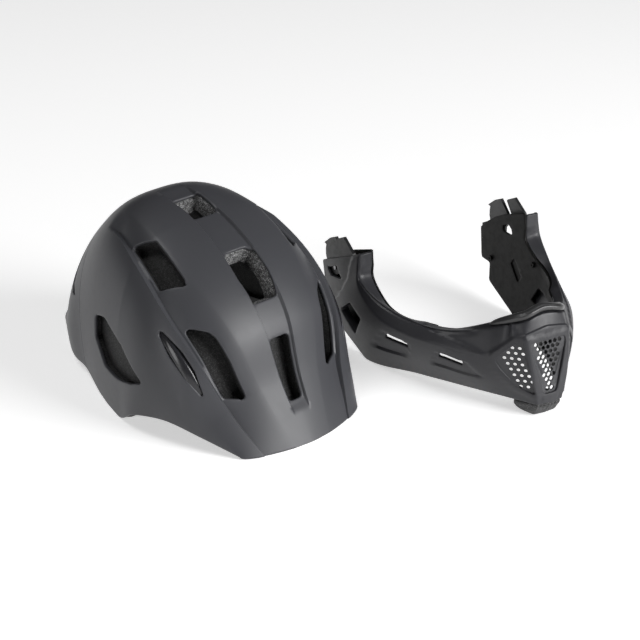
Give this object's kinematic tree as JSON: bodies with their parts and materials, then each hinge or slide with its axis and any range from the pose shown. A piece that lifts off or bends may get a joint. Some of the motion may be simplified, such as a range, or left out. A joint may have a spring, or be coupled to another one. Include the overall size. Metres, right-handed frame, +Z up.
{
  "type": "full face helmet",
  "caption": "Vented open-face trail helmet with an integral peak, standing on its rim, and its latched full-face chin bar laid beside it.",
  "frame": {"origin": "middle of the head opening, on the surface that the helmet stands on", "axes": "+Z up, -Y where the wearer looks, +X the wearer's left"},
  "size_m": [0.463, 0.4309, 0.1854],
  "materials": {
    "shell": "satin moulded shell",
    "foam": "dark expanded bead foam",
    "pad": "brushed knit over foam",
    "webbing": "woven nylon",
    "black_plastic": "fine moulded texture",
    "gloss_black": "gloss",
    "inner_plastic": "satin",
    "steel": "turned",
    "spring_steel": "rolled",
    "soft_lip": "soft and smooth",
    "grille": "satin"
  },
  "bodies": {
    "root": {"outer_shell": "shell", "tail_shell": "shell", "foam_liner": "foam", "temple_trim_left": "gloss_black", "temple_trim_right": "gloss_black", "socket_left": "black_plastic", "socket_right": "black_plastic", "brow_pad": "pad", "crown_pad_left": "pad", "crown_pad_right": "pad", "side_pad_left": "pad", "side_pad_right": "pad", "temple_anchors": "black_plastic", "height_clip": "black_plastic", "strap_anchors": "black_plastic", "strap_left": "webbing", "strap_right": "webbing", "divider_left": "black_plastic", "divider_right": "black_plastic", "buckle_frame": "black_plastic", "buckle_pin": "steel", "chin_strap_pad": "pad", "bar_shell": "shell", "arm_plate_left": "inner_plastic", "arm_plate_right": "inner_plastic", "arm_cap_left": "black_plastic", "arm_cap_right": "black_plastic", "latch_pins": "steel", "latch_spring_left": "spring_steel", "latch_spring_right": "spring_steel", "arm_screws": "steel", "mouth_pad": "soft_lip", "chin_foam": "foam", "centre_grille": "grille", "side_grille_left": "grille", "side_grille_right": "grille"},
    "headring": {"cradle": "black_plastic", "dial_housing": "black_plastic", "dial_cover": "black_plastic", "height_strip": "black_plastic"},
    "rack_slide_left": {"rack_left": "black_plastic", "band_left": "black_plastic"},
    "rack_slide_right": {"rack_right": "black_plastic", "band_right": "black_plastic"},
    "dial_knob": {"dial": "inner_plastic", "pinion": "steel", "dial_screw": "steel"},
    "latch_left": {"latch_lever_left": "black_plastic"},
    "latch_right": {"latch_lever_right": "black_plastic"},
    "strap_lever": {"buckle_lever": "black_plastic"},
    "strap_tongue": {"buckle_tongue": "black_plastic"}
  },
  "joints": [
    {"name": "headring_tilt", "type": "hinge", "parent": "root", "child": "headring", "pos_m": [0, -0.05195, 0.05], "axis": [1, 0, 0], "range_deg": [-3, 3]},
    {"name": "dial_turn", "type": "hinge", "parent": "headring", "child": "dial_knob", "pos_m": [0, 0.1, 0.05], "axis": [0, 1, 0], "range_deg": [-80, 20]},
    {"name": "rack_left_slide", "type": "slide", "parent": "headring", "child": "rack_slide_left", "axis": [1, 0, 0], "range_m": [-0.0085, 0.0025], "deforming": ["band_left"]},
    {"name": "rack_right_slide", "type": "slide", "parent": "headring", "child": "rack_slide_right", "axis": [-1, 0, 0], "range_m": [-0.0085, 0.0025], "deforming": ["band_right"]},
    {"name": "latch_left_press", "type": "hinge", "parent": "root", "child": "latch_left", "pos_m": [0.34152, -0.07928, 0.08214], "axis": [0.9755, -0.2199, 0], "range_deg": [0, 6], "stiffness_Nm_per_rad": 0.8, "springref_deg": -8.59, "deforming": ["latch_spring_left"]},
    {"name": "latch_right_press", "type": "hinge", "parent": "root", "child": "latch_right", "pos_m": [0.14739, -0.03553, 0.08214], "axis": [0.9755, -0.2199, 0], "range_deg": [0, 6], "stiffness_Nm_per_rad": 0.8, "springref_deg": -8.59, "deforming": ["latch_spring_right"]},
    {"name": "buckle_lever_lift", "type": "hinge", "parent": "root", "child": "strap_lever", "pos_m": [-0.004, -0.018, 0.008], "axis": [0, 1, 0], "range_deg": [0, 40], "stiffness_Nm_per_rad": 0.05, "springref_deg": -11.46},
    {"name": "buckle_tongue_slide", "type": "slide", "parent": "root", "child": "strap_tongue", "axis": [1, 0, 0], "range_m": [0, 0.012], "deforming": ["strap_left"]}
  ],
  "couplings": [
    {"joint": "rack_left_slide", "follows": "dial_turn", "m_per_rad": 0.006},
    {"joint": "rack_right_slide", "follows": "dial_turn", "m_per_rad": 0.006}
  ]
}
